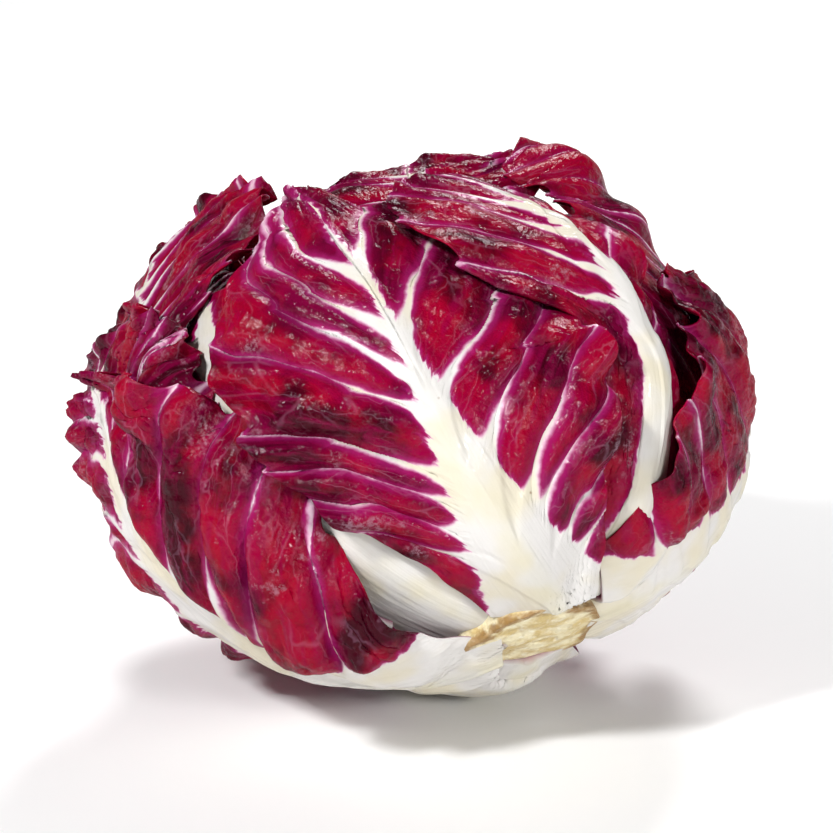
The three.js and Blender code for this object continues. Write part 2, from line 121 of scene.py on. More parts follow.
LEAVES = [
    wrapped("inner_leaf_front", -30, 34, 200, 58, -19, seed=11, **INNER),
    wrapped("inner_leaf_right", 80, 34, 188, 56, -17, seed=12, **INNER),
    wrapped("inner_leaf_back", 180, 34, 178, 58, -15, seed=13, **INNER),
    wrapped("inner_leaf_left", -100, 32, 165, 54, -13, seed=14, **INNER),
    {
        "name": "top_leaf", "azimuth": -4, "seed": 21,
        "pucker": 1.8, "crumple": 0.7, "ruffle": 0.9,
        "rib": (2, 0.2, 0.8, 2.1), "veins": 0.3,
        "rows": [
            [34, -12, 0, 12, -12, -12, -12],
            [50, -22, 0, 20, -12, -12, -12],
            [80, -30, 0, 26, -12, -11, -12],
            [100, -32, 0, 22, -11, -10, -11],
            [113, -32, 0, 26, -9, -8, -6],
            [124, -28, 3, 27, -8, -7, -2],
            [131, -16, 6, 22, -7, -5, -1],
        ],
    },
    wrapped("back_leaf_left", -135, 27, 160, 54, -9.5, seed=31, rib=(9, 0.5, 2, 1.5), **BACK),
    wrapped("back_leaf_right", 125, 25, 156, 54, -7.5, seed=32, rib=(9, 0.5, 2, 1.5), **BACK),
    wrapped("back_leaf_middle", 178, 22, 150, 50, -5.5, seed=33, rib=(10, 0.5, 2, 1.5), **BACK),
    {
        "name": "left_rib_leaf", "azimuth": -60, "seed": 42,
        "pucker": 0.4, "crumple": 0.15, "ruffle": 0.5,
        "rib": (17, 1, 1.5, 1.4), "veins": 0.9,
        "left": [(0.5, 0.66, 0.7), (0.64, 0.82, 0.7), (0.76, 0.95, 0.7)],
        "right": [(0.4, 0.56, 0.7), (0.5, 0.68, 0.7), (0.6, 0.8, 0.7), (0.7, 0.92, 0.7)],
        "rows": [
            [7, -22, -2, 10, -5, -4, -4],
            [24, -22, -2, 9, -6, -4, -4],
            [45, -23, -1, 14, -6, -4, -4],
            [62, -22, 0, 18, -6, -4, -4],
            [80, -18, 2, 22, -6, -3.5, -4],
            [94, -12, 5, 24, -6, -3.5, -5],
            [104, -4, 8, 22, -7, -5, -6],
        ],
    },
    {
        "name": "upper_left_leaf", "azimuth": -70, "seed": 41,
        "pucker": 2.0, "crumple": 1.2, "ruffle": 2.1,
        "rib": (6, 0.3, 1.4, 2.1), "veins": 0.4,
        "rows": [
            [26, -16, -12, -8, -9, -8, -9],
            [50, -24, -12, -4, -8, -7, -8],
            [85, -32, -6, 6, -8, -6, -6],
            [102, -34, -4, 19, -8, -5, -5],
            [112, -34, -3, 30, -7, -5, -4],
            [124, -30, -2, 32, -6, -4, -2],
            [136, -20, 2, 29, -4, -2, -1],
            [145, -6, 8, 20, -3, -1, -1],
        ],
    },
    {
        "name": "left_outer_leaf", "azimuth": -85, "seed": 43,
        "pucker": 2.0, "crumple": 1.6, "ruffle": 1.9,
        "rib": (8, 0.4, 2, 2.1), "veins": 0.5,
        "rows": [
            [20, -14, -8, -3, -6, -5, -6],
            [44, -23, -6, 7, -5, -4, -6],
            [70, -32, -2, 22, -4, -3, -4],
            [86, -36, 0, 28, -3, -3, -2],
            [96, -36, 0, 30, -2, -3, -1],
            [106, -32, 0, 25, -2, -2, -1],
            [116, -18, 2, 18, -2, -2, -1],
        ],
    },
    {
        "name": "far_right_leaf", "azimuth": 64, "seed": 51,
        "pucker": 1.2, "crumple": 0.6, "ruffle": 0.8,
        "rib": (7, 0.3, 1.2, 2.1), "veins": 0.3,
        "flare": 4, "bulges": [(118, -27, 8, 9, 6.5), (105, -19, 5, 7, 4), (127, -30, 6, 8, 2)],
        "rows": [
            [22, -24, 0, 12, -7, -7, -7],
            [40, -40, 0, 23, -5, -6, -6],
            [60, -43, 0, 32, -4, -5, -6],
            [80, -43, 0, 34, -3, -5, -5],
            [96, -42, 0, 34, -3, -5, -4],
            [108, -43, -2, 31, -4, -4.5, -3],
            [120, -49, -8, 24, -3, -3, -2],
            [131, -44, -16, 8, -2, -2, -2],
        ],
    },
    {
        "name": FOLDED, "azimuth": 15, "seed": 61,
        "pucker": 1.8, "ruffle": 1.0,
        "rib": (5.5, 0.3, 3.6, 1.3), "veins": 0.8,
        "left": [(0.42, 0.60, 0.7), (0.49, 0.75, 0.7), (0.60, 0.90, 0.7), (0.69, 0.98, 0.7)],
        "right": [(0.3, 0.5, 0.7), (0.5, 0.7, 0.7), (0.7, 0.9, 0.7)],
        "rows": [
            [12, -5, 3, 10, -5, -4, -4],
            [28, -7, 6, 16, -5, -2.5, -4],
            [42, -8, 6, 16, -5, -1.5, -5],
            [56, -8, 5, 15, -4, 0, -7],
            [66, -8, 3, 13, -2, 0, -7],
            [76, -22, 1, 12, 1, 0, -7],
            [87, -29, -3, 10, 2, -1, -8],
            [98, -31, -8, 4, 1, -2, -7],
            [107, -28, -14, -4, -1, -2, -7],
            [113, -22, -17, -10, -2, -3, -5],
        ],
    },
    {
        "name": "right_outer_leaf", "azimuth": 80, "seed": 62,
        "pucker": 2.2, "crumple": 2.0, "ruffle": 1.7, "calm": 1,
        "rib": (20, 0.6, 1.5, 2.2), "veins": 0.8, "pale_right": 0.5,
        "left": [(0.12, 0.15, 0.8), (0.2, 0.24, 0.8), (0.28, 0.34, 0.8), (0.38, 0.45, 0.8), (0.5, 0.58, 0.8),
                 (0.64, 0.75, 0.8), (0.78, 0.9, 0.8)],
        "rows": [
            [9, -20, 0, 12, -4, -3, -3],
            [21, -28, 0, 23, -3, -2, -2],
            [33, -37, 0, 26, -1, -1, -3],
            [47, -42, 0, 31, 0, -1, -2],
            [60, -45, 0, 35, 0, -1, 0],
            [72, -48, -2, 36, -3, -1, -1],
            [83, -47, -4, 28, -5, -3, -2],
            [92, -38, -8, 14, -6, -5, -3],
        ],
    },
    {
        "name": "bottom_leaf", "azimuth": 175, "seed": 71,
        "pucker": 1.2, "ruffle": 1.2,
        "rib": (16, 1, 1.2, 1.4), "pale_left": 0.5, "pale_right": 0.5,
        "rows": [
            [13, -10, 0, 8, -3, -3, -4],
            [27, -15, 0, 12, -4, -2, -5],
            [46, -24, 0, 17, -4, -0.5, -4],
            [66, -36, 0, 24, -4, -0.5, -4],
            [88, -46, 0, 36, -3, 0, -4],
            [108, -44, 0, 42, 0, 0, -2],
            [124, -34, -2, 32, 1, 0, 1],
            [134, -18, -4, 12, 1, 1, 1],
        ],
    },
    {
        "name": "lower_left_leaf", "azimuth": -105, "seed": 72,
        "pucker": 3.4, "crumple": 2.5, "ruffle": 2.0, "calm": -1,
        "bulges": [(62, 34, 7, 6, 2.5), (42, 25, 7, 6, 2.5), (52, 40, 6, 6, -3)],
        "rib": (26, 0.8, 1.6, 2.3), "veins": 0.7, "pale_left": 0.3,
        "right": [(0.15, 0.36, 0.8), (0.30, 0.47, 0.5), (0.40, 0.58, 0.7), (0.49, 0.70, 0.7),
                  (0.60, 0.81, 0.7), (0.70, 0.92, 0.7)],
        "rows": [
            [8, -14, -3, 3, -3, -1, -4],
            [20, -25, -9, 7, -4, -1, -3],
            [32, -31, -12, 21, -5, -1, -2],
            [44, -34, -11, 38, -5, 0, -3],
            [58, -33, 0, 46, -4, 0, -4],
            [72, -24, 12, 46, -3, 1, -2],
            [86, -10, 22, 42, -2, 0, 1],
            [97, 4, 25, 34, -1, 0, 1],
            [105, 12, 22, 26, 0, 1, 1],
        ],
    },
    {
        "name": "front_leaf", "azimuth": -22, "seed": 73,
        "pucker": 3.0, "ruffle": 1.4,
        "rib": (12, 0.2, 2.4, 2.9), "veins": 0.75,
        "left": [(0.02, 0.22, 0.6), (0.09, 0.30, 0.75), (0.15, 0.385, 0.8), (0.21, 0.475, 0.8),
                 (0.30, 0.685, 0.65), (0.42, 0.85, 0.8), (0.53, 0.91, 0.8), (0.65, 0.98, 0.8)],
        "right": [(0.01, 0.14, 0.8), (0.02, 0.20, 0.8), (0.05, 0.32, 0.7), (0.08, 0.44, 0.9),
                  (0.20, 0.56, 0.75), (0.33, 0.62, 0.5), (0.51, 0.76, 0.6), (0.66, 0.9, 0.7)],
        "rows": [
            [11, -8, 3, 9, -2, -1, -2],
            [26, -14, 0, 15, -1, 1, 1],
            [42, -25, -2, 21, 1, 1, 3],
            [56, -31, -3, 27, 2, 1, 3],
            [66, -32, -3, 27, 1, 1, 0],
            [80, -32, -3, 21, 0, 0, -4],
            [95, -27, -4, 14, -1, -1, -5],
            [108, -14, -4, 5, -1, -2, -5],
            [118, -7, -5, -2, -1, -2, -3],
        ],
    },
]

# ---------------------------------------------------------------- noise


def lattice(cell, seed):
    """A fixed random number from 0 to 1 for each whole-numbered cell."""
    x, y, z = (cell[..., k].astype(np.int64) for k in range(3))
    h = (x * 374761393 + y * 668265263 + z * 1442695041 + seed * 1274126177) & 0xFFFFFFFF
    h = ((h ^ (h >> 13)) * 1274126177) & 0xFFFFFFFF
    return ((h ^ (h >> 16)) & 0xFFFFFF) / 0xFFFFFF


def noise(points, size, seed):
    """Smooth noise from -1 to 1, with features of about `size` millimetres."""
    p = points / size
    cell = np.floor(p)
    t = p - cell
    t = t * t * t * (t * (t * 6 - 15) + 10)
    total = 0
    for corner in np.ndindex(2, 2, 2):
        weight = np.prod(np.where(corner, t, 1 - t), axis=-1)
        total = total + weight * lattice(cell + corner, seed)
    return 2 * total - 1


def fractal(points, size, seed, octaves=3):
    """Noise with finer and weaker noise on it."""
    return sum(noise(points, size / 2**k, seed + k) / 2**k for k in range(octaves))


def smoothstep(low, high, value):
    t = np.clip((value - low) / (high - low), 0, 1)
    return t * t * (3 - 2 * t)


def smooth_max(a, b, softness):
    return (a + b + np.sqrt((a - b) ** 2 + softness**2)) / 2


# ---------------------------------------------------------------- the pile that the leaves are laid on


class Pile:
    """The height of what is laid so far, in millimetres of lift, at evenly spread directions."""

    COUNT = 22000
    NEAR = 13  # neighbours of a direction that a sample is taken from
    RING = 7  # of those, the direction itself and the ring round it
    ROWS = 240  # of the table that finds the nearest direction

    def __init__(self, lift):
        k = np.arange(self.COUNT) + 0.5
        polar = np.arccos(1 - 2 * k / self.COUNT)
        turn = math.pi * (1 + math.sqrt(5)) * k
        self.directions = np.stack(
            [np.cos(turn) * np.sin(polar), np.sin(turn) * np.sin(polar), np.cos(polar)], axis=1
        )
        tree = kdtree.KDTree(self.COUNT)
        for n, direction in enumerate(self.directions):
            tree.insert(direction, n)
        tree.balance()
        self.near = np.array([[hit[1] for hit in tree.find_n(d, self.NEAR)] for d in self.directions])
        table = []
        for a in (np.arange(self.ROWS) + 0.5) / self.ROWS * math.pi:
            for b in (np.arange(2 * self.ROWS) + 0.5) / self.ROWS * math.pi:
                spot = (math.sin(a) * math.cos(b), math.sin(a) * math.sin(b), math.cos(a))
                table.append(tree.find(spot)[1])
        self.table = np.array(table).reshape(self.ROWS, 2 * self.ROWS)
        self.height = np.full(self.COUNT, float(lift))

    def nearest(self, directions):
        a = np.arccos(np.clip(directions[..., 2], -1, 1)) / math.pi * self.ROWS
        b = np.arctan2(directions[..., 1], directions[..., 0]) % (2 * math.pi) / math.pi * self.ROWS
        row = np.minimum(a.astype(int), self.ROWS - 1)
        return self.table[row, np.minimum(b.astype(int), 2 * self.ROWS - 1)]

    def surface(self, spread):
        """The height with each leaf's margin grown outward and then smoothed."""
        height = self.height
        for _ in range(spread):
            height = height[self.near[:, : self.RING]].max(axis=1)
        for _ in range(spread):
            height = height[self.near[:, : self.RING]].mean(axis=1)
        return height

    def sample(self, directions, spread=2):
        """The smoothed height in each direction, weighted towards what is within a degree or so."""
        BLUR = 1.3 * RAD
        height = self.surface(spread)
        near = self.near[self.nearest(directions)]
        apart = 1 - np.einsum("...kc,...c->...k", self.directions[near], directions)
        weight = np.exp(-apart / (1 - math.cos(BLUR)))
        return (weight * height[near]).sum(axis=-1) / weight.sum(axis=-1)

    def add(self, points, where=None):
        """Lays a surface's points on the pile."""
        unit = (points - CENTRE) / ENVELOPE
        size = np.linalg.norm(unit, axis=-1)
        found = self.nearest(unit / size[..., None])
        lift = (size - 1) * MEAN_RADIUS
        if where is not None:
            found, lift = found[where], lift[where]
        np.maximum.at(self.height, found.ravel(), lift.ravel())


# ---------------------------------------------------------------- one leaf's surface


def spline(rows, share):
    """Every column of the rows at a share of the way from the first row to the last."""
    rows = np.asarray(rows, float)
    place = share * (len(rows) - 1)
    i = np.minimum(place.astype(int), len(rows) - 2)
    t = (place - i)[:, None]
    a, b, c, d = (rows[np.clip(i + k, 0, len(rows) - 1)] for k in (-1, 0, 1, 2))
    return b + 0.5 * t * (c - a + t * (2 * a - 5 * b + 4 * c - d + t * (3 * (b - c) + d - a)))


def direction(azimuth, along, across):
    """The unit direction of a place on a leaf."""
    meridian = math.cos(azimuth * RAD) * SKY + math.sin(azimuth * RAD) * SIDE
    lateral = -math.sin(azimuth * RAD) * SKY + math.cos(azimuth * RAD) * SIDE
    along, across = along[..., None] * RAD, across[..., None] * RAD
    return np.cos(across) * (np.cos(along) * STEM + np.sin(along) * meridian) + np.sin(across) * lateral


def place(directions, lift):
    return CENTRE + directions * ENVELOPE * (1 + lift / MEAN_RADIUS)[..., None]


def grid_normals(points):
    """Outward unit normals of a grid of points."""
    normal = np.cross(np.gradient(points, axis=1), np.gradient(points, axis=0))
    normal /= np.linalg.norm(normal, axis=-1, keepdims=True) + 1e-9
    outward = np.einsum("ijk,ijk->ij", normal, points - CENTRE)
    return normal if outward.mean() > 0 else -normal


def default_veins(seed, count=10):
    """Lateral veins spaced evenly, with a little chance in where they start and end."""
    chance = np.random.default_rng(seed)
    starts = np.linspace(0.04, 0.8, count) + chance.uniform(-0.02, 0.02, count)
    return [(s, min(1.08, s + 0.20 + 0.05 * chance.uniform(-1, 1)), 0.85) for s in starts]


def leaf_grid(leaf):
    """A leaf's grid of places: share of the way up, turn across from -1 to 1, and the rows' values."""
    rows_up, rows_across = leaf.get("grid", GRID)
    up, turns = np.linspace(0, 1, rows_up + 1), np.linspace(-1, 1, rows_across + 1)
    g = SimpleNamespace(seed=leaf["seed"])
    columns = (column[:, None] for column in spline(leaf["rows"], up).T)
    g.along, g.left, g.middle, g.right, g.lift_left, g.lift_middle, g.lift_right = columns
    g.share, g.turn = np.meshgrid(up, turns, indexing="ij")
    g.side, g.far = np.where(g.turn < 0, -1, 1), np.abs(g.turn)
    g.length = (g.along[-1, 0] - g.along[0, 0]) * DEGREE
    g.half_width = np.where(g.side < 0, g.middle - g.left, g.right - g.middle) * DEGREE
    g.flat = np.stack([g.share * g.length, g.turn * 40, np.full_like(g.share, 7.0 * g.seed)], axis=-1)
    return g


def vein_fields(g, veins, width, seed):
    """The distance to the nearest lateral's edge, the gap a place is in, how far up it, and its width."""
    WANDER = 0.012  # how far a lateral strays, as a share of the leaf's length
    THINNEST = 0.27  # a lateral's half-width at its end
    WEB, WEB_REACH = 1.1, 3  # the flare where it joins the midrib
    FIRST, LAST = -0.12, 1.12  # where the lowest gap starts and the highest one ends, in shares of the leaf
    lines, uprights, edges = [], [], []
    reach = np.maximum(g.far, 0.02)
    from_rib = np.maximum(g.far * g.half_width - g.rib_width, 0)
    for n, (start, end, bend) in enumerate(veins):
        wander = noise(np.stack([g.far * 40, 0 * g.far + 9 * n, 0 * g.far + seed], axis=-1), 9, seed + 7)
        line = start + (end - start) * reach**bend + WANDER * wander * smoothstep(0, 0.3, g.far)
        lean = (end - start) * bend * reach ** (bend - 1) * g.length / g.half_width
        upright = 1 / np.sqrt(1 + lean**2)
        thick = width * (1 - g.far) ** 1.3 * (1.1 - 0.6 * start) + THINNEST
        thick = thick + WEB * (1 - start) * np.exp(-from_rib / WEB_REACH)
        lines.append(line)
        uprights.append(upright)
        edges.append(np.abs(g.share - line) * g.length * upright - thick)
    lines, uprights = np.stack(lines), np.stack(uprights)
    order = np.arange(len(veins))[:, None, None]
    below = np.where(lines <= g.share, order, -1).max(axis=0)
    whole = (1, *g.share.shape)
    ends = np.concatenate([np.full(whole, FIRST), lines, np.full(whole, LAST)])
    low = np.take_along_axis(ends, below[None] + 1, 0)[0]
    high = np.take_along_axis(ends, below[None] + 2, 0)[0]
    inside = np.clip((g.share - low) / np.maximum(high - low, 1e-3), 0, 1)
    upright = np.take_along_axis(uprights, np.maximum(below, 0)[None], 0)[0]
    return np.stack(edges).min(axis=0), below + 1, inside, (high - low) * g.length * upright


def add_veins(leaf, g):
    """Adds to a grid the midrib's half-width and, for each place, what vein_fields says of its side."""
    base, tip, g.rib_height, narrowing = leaf.get("rib", RIB)
    g.rib_width = tip + (base - tip) * (1 - g.share) ** narrowing
    g.vein_apart, g.gap_index, g.inside, g.gap = (np.zeros_like(g.share) for _ in range(4))
    left = leaf.get("left", default_veins(g.seed))
    right = leaf.get("right", default_veins(g.seed + 500))
    for hand, veins in ((-1, left), (1, right)):
        fields = vein_fields(g, veins, leaf.get("veins", 0.8), g.seed + hand)
        chosen = g.side == hand
        for whole, part in zip((g.vein_apart, g.gap_index, g.inside, g.gap), fields):
            whole[chosen] = part[chosen]


def lobe(inside):
    """About 1 just above the end of a lateral, where the margin is notched, and less farther up the gap."""
    return 2.2 * (np.exp(-inside / 0.3) - np.exp(-inside / 0.06))


def add_outline(leaf, g):
    """Adds each place in degrees, with the notched and ragged margin, and its distance to the midrib."""
    RAGGED, NOTCH = 0.045, 0.06  # shares of the half-width
    TIP_ROUND = 0.25  # how much shorter the leaf is at its margin, as a share of the half-width
    rim = np.where(g.side < 0, g.inside[:, :1], g.inside[:, -1:])
    ragged = RAGGED * fractal(g.flat, 16, g.seed + 900, 3) * smoothstep(0.1, 0.3, g.share)
    outline = 1 + ragged - NOTCH * lobe(rim) * smoothstep(0.25, 0.45, g.share)
    margin = np.where(g.side < 0, g.left, g.right) - g.middle
    g.across = g.middle + margin * g.far * outline
    g.x = (g.across - g.middle) * DEGREE
    g.along = g.along - TIP_ROUND * np.abs(margin) * g.far**2 * smoothstep(0.75, 1, g.share)
    from_middle = np.where(g.x < 0, -g.x * leaf.get("pale_left", 1), g.x * leaf.get("pale_right", 1))
    g.rib_apart = from_middle - g.rib_width * smoothstep(1.02, 0.9, g.share)
    g.edge = np.maximum(g.far, smoothstep(0.8, 1, g.share))


def puckers(leaf, g):
    """The blade's swelling between its veins."""
    WIDE = 11  # millimetres between laterals for the leaf's full pucker
    fullness = leaf.get("pucker", 1.5) * np.minimum(g.gap / WIDE, 1.3) * smoothstep(0.04, 0.5, g.far)
    fullness = fullness * smoothstep(-1.0, 3.0, g.rib_apart)
    waver = 0.8 + 0.5 * noise(g.flat + [0, 0, 31], 15, g.seed)
    return fullness * waver * (np.sin(math.pi * g.inside**1.35) ** 0.8 - 0.3)


def wrinkles(leaf, g):
    """Fine bumps, creases and a broad swell on the open blade, and none on the veins."""
    veins = -smooth_max(-g.rib_apart, -g.vein_apart, 0.8)
    bumps = 0.65 * fractal(g.flat, 9, g.seed + 40, 4)
    creases = 0.35 - np.abs(noise(g.flat, 12, g.seed + 45))
    swell = noise(g.flat, 20, g.seed + 47)
    return leaf.get("crumple", 1.0) * (bumps + 0.8 * creases + 0.5 * swell) * smoothstep(-0.5, 2.0, veins)


def ruffles(leaf, g):
    """The waves of the margin."""
    WAVES = 5.5  # along each side
    CALM = 0.2  # the share of the ruffle that is left on a calm side
    wave = WAVES * g.share * 2 * math.pi + 2.2 * noise(g.flat * [1, 0, 1], 22, g.seed + 60) + g.seed
    wave = wave + g.turn * 5 * smoothstep(0.8, 1, g.share)
    height = leaf.get("ruffle", 1.2) * smoothstep(0.5, 1, g.edge) ** 1.6
    ruffle = height * (np.sin(wave) + 0.45 * np.sin(2.3 * wave + g.side))
    return np.where(g.side == leaf.get("calm", 0), CALM * ruffle, ruffle)


def leaf_thickness(g):
    """The blade thins towards its margin, and the midrib and the laterals stand out of it."""
    CORE = 4.5  # the widest half-width of the part of a midrib that stands out
    VEIN_HEIGHT = 0.45
    core = np.minimum(g.rib_width, CORE) + 1.3
    relief = g.rib_height * np.exp(-((g.x / core) ** 2)) * (1 - 0.9 * g.share)
    lateral = VEIN_HEIGHT * np.exp(-np.clip(g.vein_apart + 0.3, 0, None) ** 2 / 0.5)
    relief = relief + lateral * (1 - 0.6 * g.far)
    return (BLADE - (BLADE - MARGIN) * smoothstep(0.8, 1, g.edge)) + relief


def wanted_lift(leaf, g):
    """How high the leaf's outer face would be if nothing lay under it."""
    to_side = np.where(g.side < 0, g.lift_left, g.lift_right) - g.lift_middle
    lift = g.lift_middle + to_side * g.far ** leaf.get("flare", 2)
    for along, across, reach_along, reach_across, height in leaf.get("bulges", []):
        apart = ((g.along - along) / reach_along) ** 2 + ((g.across - across) / reach_across) ** 2
        lift = lift + height * np.exp(-apart)
    return lift


def leaf_surface(leaf, pile):
    """The inner face's directions and lifts, the thickness on it, and the values that the material reads."""
    SQUEEZE = 2.0  # the farthest that a base is pushed out by what lies under it
    g = leaf_grid(leaf)
    add_veins(leaf, g)
    add_outline(leaf, g)
    detail = (puckers(leaf, g) + wrinkles(leaf, g) + ruffles(leaf, g)) * smoothstep(0.02, 0.22, g.share)
    lift = wanted_lift(leaf, g)
    directions = direction(leaf["azimuth"], g.along, g.across)
    ground = pile.sample(directions)
    near_stem = smoothstep(30, 14, g.along)  # there the bases are squeezed together
    ground = ground + (np.minimum(ground, lift + SQUEEZE) - ground) * near_stem
    rest = smooth_max(lift - BLADE, ground + REST, 1.2)
    values = {
        "rib": g.rib_apart,
        "vein": g.vein_apart,
        "gap_place": g.gap_index + g.inside + 31 * (g.side > 0),
        "far": g.far,
        "up": g.share,
        "across": g.x,
    }
    return SimpleNamespace(
        directions=directions,
        lift=np.maximum(rest + detail, ground + GAP * 0.6 + 0.25 * detail),
        thickness=leaf_thickness(g),
        along=g.along,
        across=g.across,
        values=values,
    )


def raise_fold(surface, pile):
    """Lifts the part of a leaf that folds over its later neighbour clear of what is laid there now."""
    SMOOTHINGS = 6
    weight = smoothstep(FOLD_STARTS - 2, FOLD_STARTS + 8, surface.along)
    weight = weight * smoothstep(FOLD_LEFT_OF + 2, FOLD_LEFT_OF - 5, surface.across)
    needed = pile.sample(surface.directions, 1) + REST
    rise = np.maximum(needed - surface.lift, 0) * weight
    for _ in range(SMOOTHINGS):
        beside = np.roll(rise, 1, 0) + np.roll(rise, -1, 0) + np.roll(rise, 1, 1) + np.roll(rise, -1, 1)
        rise = (rise + beside) / 5
    surface.lift = surface.lift + rise


def sheet_faces(rows_up, rows_across):
    """The quads of a closed sheet: the outer grid, the inner one behind it, and the wall round the margin."""
    columns = rows_across + 1
    n = np.arange((rows_up + 1) * columns).reshape(rows_up + 1, columns)
    a, b, c, d = n[:-1, :-1], n[:-1, 1:], n[1:, 1:], n[1:, :-1]
    quads = [np.stack([a, b, c, d], -1).reshape(-1, 4), (np.stack([a, d, c, b], -1) + n.size).reshape(-1, 4)]
    loop = np.concatenate([n[0, :-1], n[:-1, -1], n[-1, :0:-1], n[:0:-1, 0]])
    ahead = np.roll(loop, -1)
    quads.append(np.stack([ahead, loop, loop + n.size, ahead + n.size], -1))
    return np.concatenate(quads)


def make_mesh(name, points, quads, values, material):
    """A smooth-shaded mesh object from millimetre points, quads and per-point values."""
    mesh = bpy.data.meshes.new(name)
    mesh.vertices.add(len(points))
    mesh.vertices.foreach_set("co", (points * MM).astype(np.float32).ravel())
    mesh.loops.add(quads.size)
    mesh.loops.foreach_set("vertex_index", quads.ravel().astype(np.int32))
    mesh.polygons.add(len(quads))
    mesh.polygons.foreach_set("loop_start", np.arange(0, quads.size, quads.shape[1], dtype=np.int32))
    mesh.polygons.foreach_set("use_smooth", np.ones(len(quads), bool))
    for key, value in values.items():
        mesh.attributes.new(key, "FLOAT", "POINT").data.foreach_set("value", value.astype(np.float32).ravel())
    mesh.update(calc_edges=True)
    mesh.validate()
    mesh.materials.append(material)
    piece = bpy.data.objects.new(name, mesh)
    bpy.context.scene.collection.objects.link(piece)
    return piece


def finish_piece(piece, node):
    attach(piece, "root")
    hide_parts(node)


def faces_of(surface):
    """The inner and outer faces' points, kept above the floor."""
    inner = place(surface.directions, surface.lift)
    outer = inner + grid_normals(inner) * surface.thickness[..., None]
    inner[..., 2] = np.maximum(inner[..., 2], MARGIN)
    outer[..., 2] = np.maximum(outer[..., 2], 0)
    return inner, outer


def make_leaf(leaf, surface, material):
    """The leaf's closed sheet."""
    inner, outer = faces_of(surface)
    quads = sheet_faces(inner.shape[0] - 1, inner.shape[1] - 1)
    both = np.concatenate([outer.reshape(-1, 3), inner.reshape(-1, 3)])
    data = {key: np.tile(value.ravel(), 2) for key, value in surface.values.items()}
    data["inside"] = np.repeat([0.0, 1.0], inner.shape[0] * inner.shape[1])
    piece = make_mesh("leaf_" + leaf["name"], both, quads, data, material)
    finish_piece(piece, leaf["name"])


# ---------------------------------------------------------------- materials


def value_node(nodes, links, kind, operation, a, b=None, c=None):
    node = nodes.new(kind)
    node.operation = operation
    for socket, value in zip(node.inputs, (a, b, c)):
        if value is None:
            continue
        if isinstance(value, (int, float)):
            socket.default_value = value
        else:
            links.new(value, socket)
    return node.outputs[0]


class Shader:
    """A few shorthands for building a node tree."""

    def __init__(self, name):
        self.material = bpy.data.materials.new(name)
        self.material.use_nodes = True
        self.nodes = self.material.node_tree.nodes
        self.links = self.material.node_tree.links
        self.nodes.clear()
        self.coordinates = self.nodes.new("ShaderNodeTexCoord").outputs["Object"]

    def attribute(self, name):
        node = self.nodes.new("ShaderNodeAttribute")
        node.attribute_name = name
        return node.outputs["Fac"]

    def math(self, operation, a, b=None, c=None):
        return value_node(self.nodes, self.links, "ShaderNodeMath", operation, a, b, c)

    def ramp(self, value, low, high):
        """0 at low and 1 at high, smooth between them."""
        node = self.nodes.new("ShaderNodeMapRange")
        node.interpolation_type = "SMOOTHSTEP"
        self.links.new(value, node.inputs["Value"])
        node.inputs["From Min"].default_value = low
        node.inputs["From Max"].default_value = high
        return node.outputs["Result"]

    def noise(self, size, detail=2.0, vector=None, roughness=0.5):
        """Noise from 0 to 1 with features of about `size` millimetres."""
        node = self.nodes.new("ShaderNodeTexNoise")
        self.links.new(vector or self.coordinates, node.inputs["Vector"])
        node.inputs["Scale"].default_value = 1 / (size * MM) if vector is None else 1 / size
        node.inputs["Detail"].default_value = detail
        node.inputs["Roughness"].default_value = roughness
        return node.outputs["Fac"]

    def combine(self, x, y, z):
        node = self.nodes.new("ShaderNodeCombineXYZ")
        for socket, value in zip(node.inputs, (x, y, z)):
            if isinstance(value, (int, float)):
                socket.default_value = value
            else:
                self.links.new(value, socket)
        return node.outputs[0]

    def voronoi_edge(self, vector, scale):
        node = self.nodes.new("ShaderNodeTexVoronoi")
        node.feature = "DISTANCE_TO_EDGE"
        self.links.new(vector, node.inputs["Vector"])
        node.inputs["Scale"].default_value = scale
        return node.outputs["Distance"]

    def voronoi_spot(self, vector, scale):
        node = self.nodes.new("ShaderNodeTexVoronoi")
        self.links.new(vector, node.inputs["Vector"])
        node.inputs["Scale"].default_value = scale
        return node.outputs["Distance"]

    def mix(self, share, a, b):
        node = self.nodes.new("ShaderNodeMix")
        node.data_type = "RGBA"
        for socket, value in ((node.inputs[0], share), (node.inputs[6], a), (node.inputs[7], b)):
            if isinstance(value, tuple):
                socket.default_value = (*value, 1)
            elif isinstance(value, (int, float)):
                socket.default_value = value
            else:
                self.links.new(value, socket)
        return node.outputs[2]

    def finish(self, colour, roughness, height, distance, specular, coat=0.0):
        """A principled surface with a bump of `distance` millimetres under a thin moist coat."""
        COAT_IOR, COAT_ROUGHNESS = 1.35, 0.08
        bump = self.nodes.new("ShaderNodeBump")
        bump.inputs["Distance"].default_value = distance * MM
        self.links.new(height, bump.inputs["Height"])
        surface = self.nodes.new("ShaderNodeBsdfPrincipled")
        surface.inputs["Specular IOR Level"].default_value = specular
        surface.inputs["Coat Weight"].default_value = coat
        surface.inputs["Coat IOR"].default_value = COAT_IOR
        surface.inputs["Coat Roughness"].default_value = COAT_ROUGHNESS
        self.links.new(colour, surface.inputs["Base Color"])
        if isinstance(roughness, float):
            surface.inputs["Roughness"].default_value = roughness
        else:
            self.links.new(roughness, surface.inputs["Roughness"])
        self.links.new(bump.outputs["Normal"], surface.inputs["Normal"])
        self.links.new(bump.outputs["Normal"], surface.inputs["Coat Normal"])
        output = self.nodes.new("ShaderNodeOutputMaterial")
        self.links.new(surface.outputs["BSDF"], output.inputs["Surface"])
        return self.material


